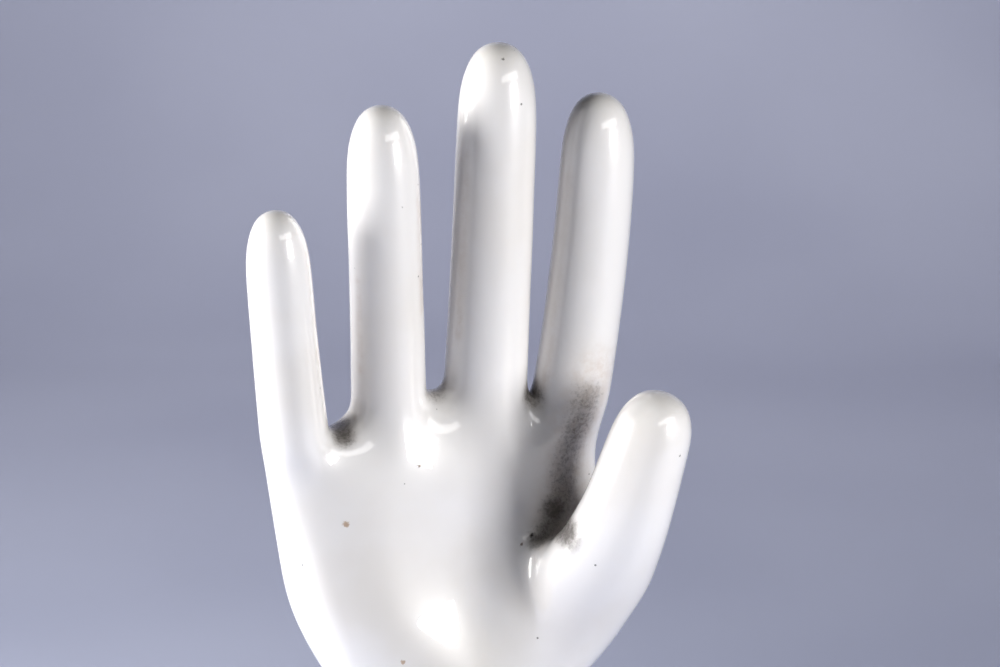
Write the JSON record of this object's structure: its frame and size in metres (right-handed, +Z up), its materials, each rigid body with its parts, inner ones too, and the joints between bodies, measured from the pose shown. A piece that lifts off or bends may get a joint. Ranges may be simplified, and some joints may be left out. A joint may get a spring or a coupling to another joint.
{
  "type": "porcelain glove form",
  "caption": "Hollow glazed porcelain hand form with straight fingers on a round cuff, carried by an expanding rubber plug that a wing nut tightens inside the cuff.",
  "frame": {"origin": "centre of the cuff's rim, on the surface that the form stands on", "axes": "+Z up along the fingers, -Y the way the palm faces, +X towards the thumb"},
  "size_m": [0.1042, 0.0911, 0.3372],
  "materials": {
    "porcelain": "clear gloss glaze over white body, with grime in the hollows",
    "aluminium": "turned",
    "steel": "zinc plated",
    "rubber": "moulded matt",
    "brass": "cast, dull"
  },
  "bodies": {
    "plug": {"lower_plate": "aluminium", "rubber_bung": "rubber", "flat_washer": "steel", "guide_pin_left": "steel", "guide_pin_right": "steel"},
    "form": {"hand_form": "porcelain"},
    "drawbar": {"draw_stud": "steel", "pressure_plate": "steel", "spring_washer": "steel", "stud_nut": "steel", "jam_nut": "steel"},
    "wing_nut": {"wing_nut": "brass"}
  },
  "joints": [
    {"name": "form_lift", "type": "slide", "parent": "plug", "child": "form", "axis": [0, 0, 1], "range_m": [0, 0.08]},
    {"name": "wing_nut_turn", "type": "hinge", "parent": "plug", "child": "wing_nut", "pos_m": [0, 0, 0.0165], "axis": [0, 0, 1], "range_deg": [0, 1441]},
    {"name": "drawbar_rise", "type": "slide", "parent": "plug", "child": "drawbar", "axis": [0, 0, 1], "range_m": [0, 0.006], "deforming": ["rubber_bung"]}
  ],
  "couplings": [
    {"joint": "wing_nut_turn", "follows": "drawbar_rise", "rad_per_m": 4188.8}
  ]
}
